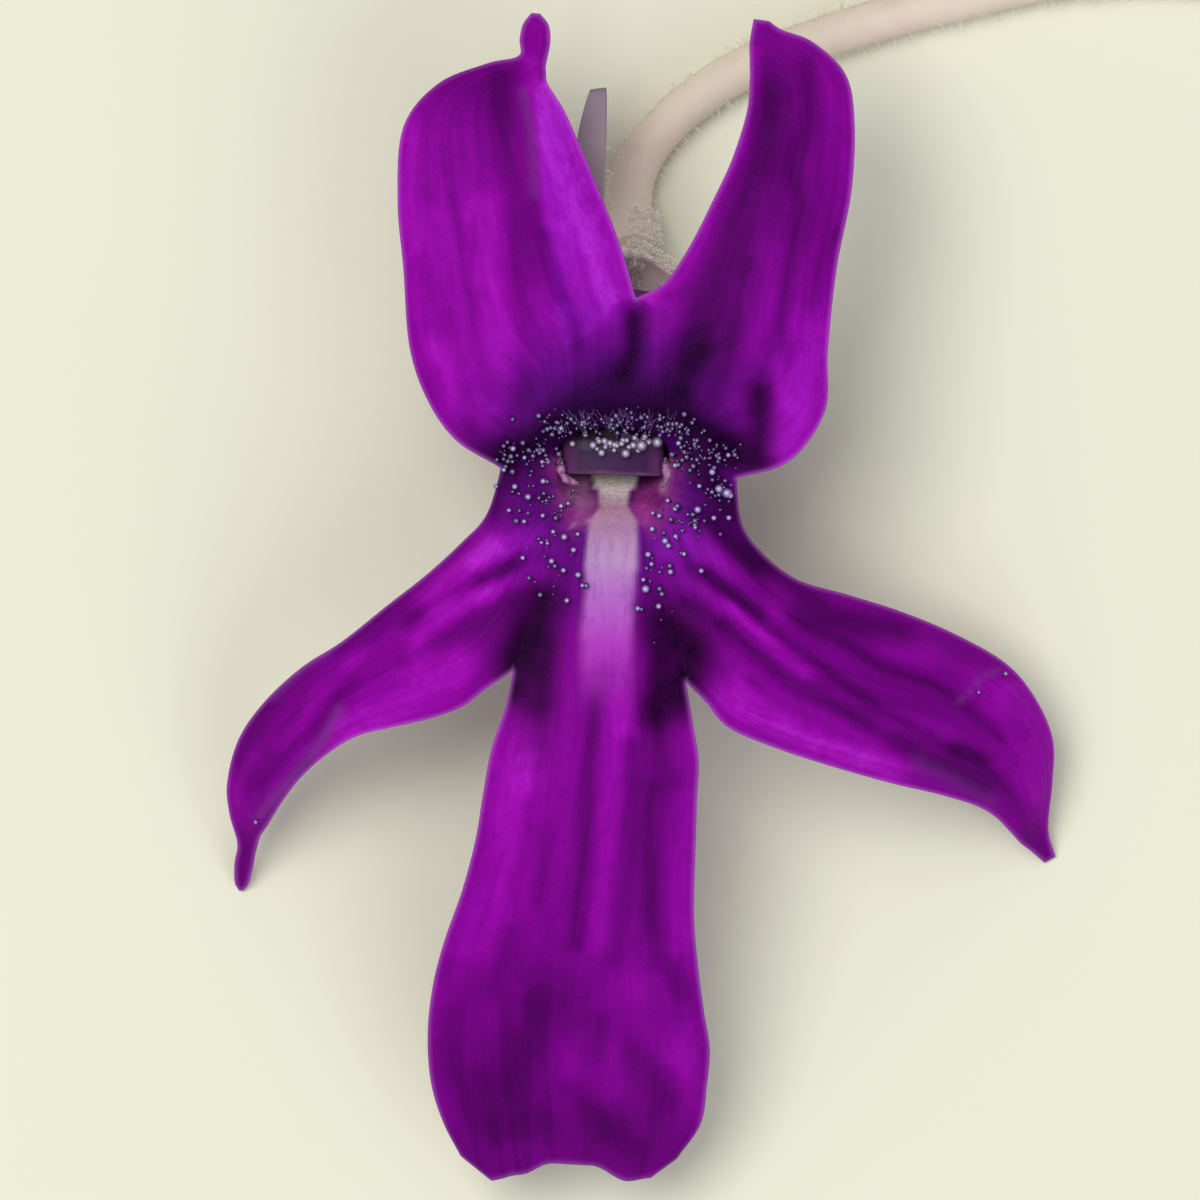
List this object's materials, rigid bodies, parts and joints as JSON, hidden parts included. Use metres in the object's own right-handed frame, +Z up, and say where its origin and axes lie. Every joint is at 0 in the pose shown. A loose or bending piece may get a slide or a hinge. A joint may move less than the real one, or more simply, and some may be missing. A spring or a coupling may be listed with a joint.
{
  "type": "butterwort flower",
  "caption": "Violet butterwort flower with deeply cut lobes, a throat flap, a slender spur, a calyx and its cut stalk, lying face up.",
  "frame": {"origin": "on the surface the flower lies on, under the middle of its box", "axes": "+Z up, the way the flower faces; -Y from the throat along the lower lip; +X to the right as the flower is looked at"},
  "size_m": [0.0496, 0.0422, 0.0098],
  "materials": {
    "petal": "soft satin petal",
    "sepal": "matte, finely haired",
    "stalk": "matte, finely haired",
    "pistil": "soft satin",
    "anther": "powdery"
  },
  "bodies": {
    "root": {"corolla": "petal", "calyx": "sepal", "scape": "stalk", "pistil": "pistil", "stamen_left": "anther", "stamen_right": "anther"}
  },
  "joints": []
}
